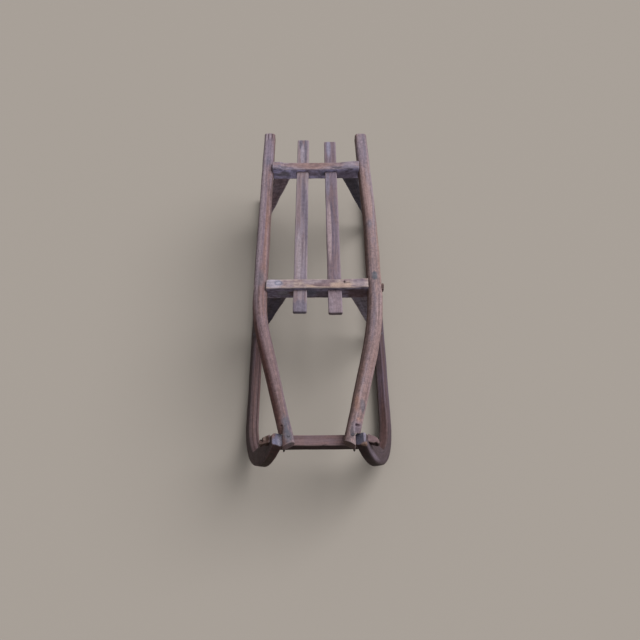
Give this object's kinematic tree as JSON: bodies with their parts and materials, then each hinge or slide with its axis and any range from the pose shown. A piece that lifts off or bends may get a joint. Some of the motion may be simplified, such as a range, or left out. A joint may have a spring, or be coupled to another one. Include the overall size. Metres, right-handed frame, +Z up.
{
  "type": "dog sled",
  "caption": "Small wooden dog sled with curled-up splayed runners, legged cross beams, a slatted deck, side poles drawn in at the nose and a tow crossbar.",
  "frame": {"origin": "on the floor, below the middle of the sled's length and width", "axes": "+Y from the nose to the rear, +Z up, +X to the right when looking from the nose to the rear"},
  "size_m": [0.3862, 1.0316, 0.272],
  "materials": {
    "runner_wood": "weathered, grey-brown, worn pale at the tips",
    "pole_wood": "weathered peeled round wood, reddish grey-brown with long cracks",
    "slat_wood": "weathered sawn wood, reddish brown with open grain",
    "leg_wood": "dark weathered wood",
    "peg_wood": "dark end grain",
    "beam_wood": "weathered wood, dark faces and a rubbed pale top",
    "crossbar_wood": "weathered reddish brown wood",
    "nail_iron": "dark rusted iron"
  },
  "bodies": {
    "root": {"runner_left": "runner_wood", "side_pole_left": "pole_wood", "slat_left": "slat_wood", "nose_nail_left": "nail_iron", "front_leg_left": "leg_wood", "front_foot_peg_left": "peg_wood", "front_pole_peg_left": "peg_wood", "rear_leg_left": "leg_wood", "rear_foot_peg_left": "peg_wood", "rear_pole_peg_left": "peg_wood", "runner_right": "runner_wood", "side_pole_right": "pole_wood", "slat_right": "slat_wood", "nose_nail_right": "nail_iron", "front_leg_right": "leg_wood", "front_foot_peg_right": "peg_wood", "front_pole_peg_right": "peg_wood", "rear_leg_right": "leg_wood", "rear_foot_peg_right": "peg_wood", "rear_pole_peg_right": "peg_wood", "front_beam": "beam_wood", "rear_beam": "beam_wood", "nose_crossbar": "crossbar_wood"}
  },
  "joints": []
}
